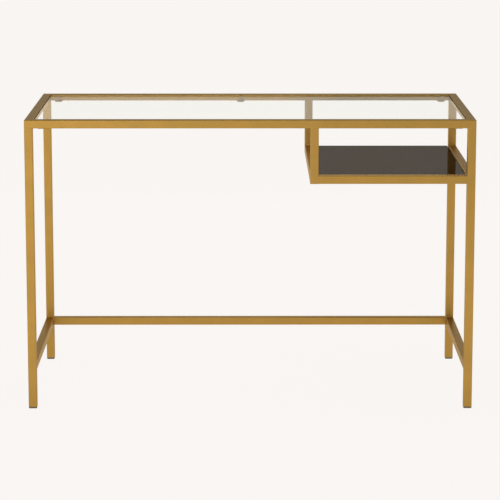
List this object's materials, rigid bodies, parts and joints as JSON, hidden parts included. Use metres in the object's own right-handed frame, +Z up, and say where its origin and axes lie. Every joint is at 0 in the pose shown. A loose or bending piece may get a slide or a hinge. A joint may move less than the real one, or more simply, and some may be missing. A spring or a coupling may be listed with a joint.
{
  "type": "glass-top writing desk",
  "caption": "Rectangular writing desk: slim square-tube metal frame, inset clear glass top, dark glazed shelf bay hung under the right end, low side and rear stretchers.",
  "frame": {"origin": "centre of the footprint, on the floor under the feet", "axes": "+X to the sitter's right along the width, where the shelf bay hangs; +Y towards the back; +Z up"},
  "size_m": [1.18, 0.56, 0.775],
  "materials": {
    "satin_brass": "satin antique-brass finish on steel tube",
    "clear_glass": "clear polished tempered glass",
    "dark_glass": "near-black glossy glass, opaque in use",
    "clear_bumper": "clear soft bumper",
    "glide_plastic": "moulded plastic foot glide"
  },
  "bodies": {
    "frame": {"leg_front_left": "satin_brass", "leg_front_right": "satin_brass", "leg_rear_left": "satin_brass", "leg_rear_right": "satin_brass", "top_rail_front": "satin_brass", "top_rail_rear": "satin_brass", "top_rail_left": "satin_brass", "top_rail_right": "satin_brass", "stretcher_rear": "satin_brass", "stretcher_left": "satin_brass", "stretcher_right": "satin_brass", "hanger_post_front": "satin_brass", "hanger_post_rear": "satin_brass", "hanger_cap_front": "satin_brass", "hanger_cap_rear": "satin_brass", "shelf_rail_front": "satin_brass", "shelf_rail_left": "satin_brass", "shelf_rail_right": "satin_brass", "shelf_bar_rear": "satin_brass", "top_tab_front_left": "satin_brass", "top_tab_front_right": "satin_brass", "top_tab_rear_left": "satin_brass", "top_tab_rear_middle": "satin_brass", "top_tab_rear_right": "satin_brass", "shelf_tab_left_front": "satin_brass", "shelf_tab_left_rear": "satin_brass", "shelf_tab_right_front": "satin_brass", "shelf_tab_right_rear": "satin_brass", "top_bumper_front_left": "clear_bumper", "top_bumper_front_right": "clear_bumper", "top_bumper_rear_left": "clear_bumper", "top_bumper_rear_middle": "clear_bumper", "top_bumper_rear_right": "clear_bumper", "shelf_bumper_left_front": "clear_bumper", "shelf_bumper_left_rear": "clear_bumper", "shelf_bumper_right_front": "clear_bumper", "shelf_bumper_right_rear": "clear_bumper", "foot_glide_front_left": "glide_plastic", "foot_glide_front_right": "glide_plastic", "foot_glide_rear_left": "glide_plastic", "foot_glide_rear_right": "glide_plastic"},
    "glass_top": {"glass_top": "clear_glass"},
    "shelf_panel": {"shelf_panel": "dark_glass"}
  },
  "joints": [
    {"name": "glass_top_lift", "type": "slide", "parent": "frame", "child": "glass_top", "axis": [0, 0, 1], "range_m": [0, 0.04]},
    {"name": "shelf_panel_lift", "type": "slide", "parent": "frame", "child": "shelf_panel", "axis": [0, 0, 1], "range_m": [0, 0.04]}
  ]
}
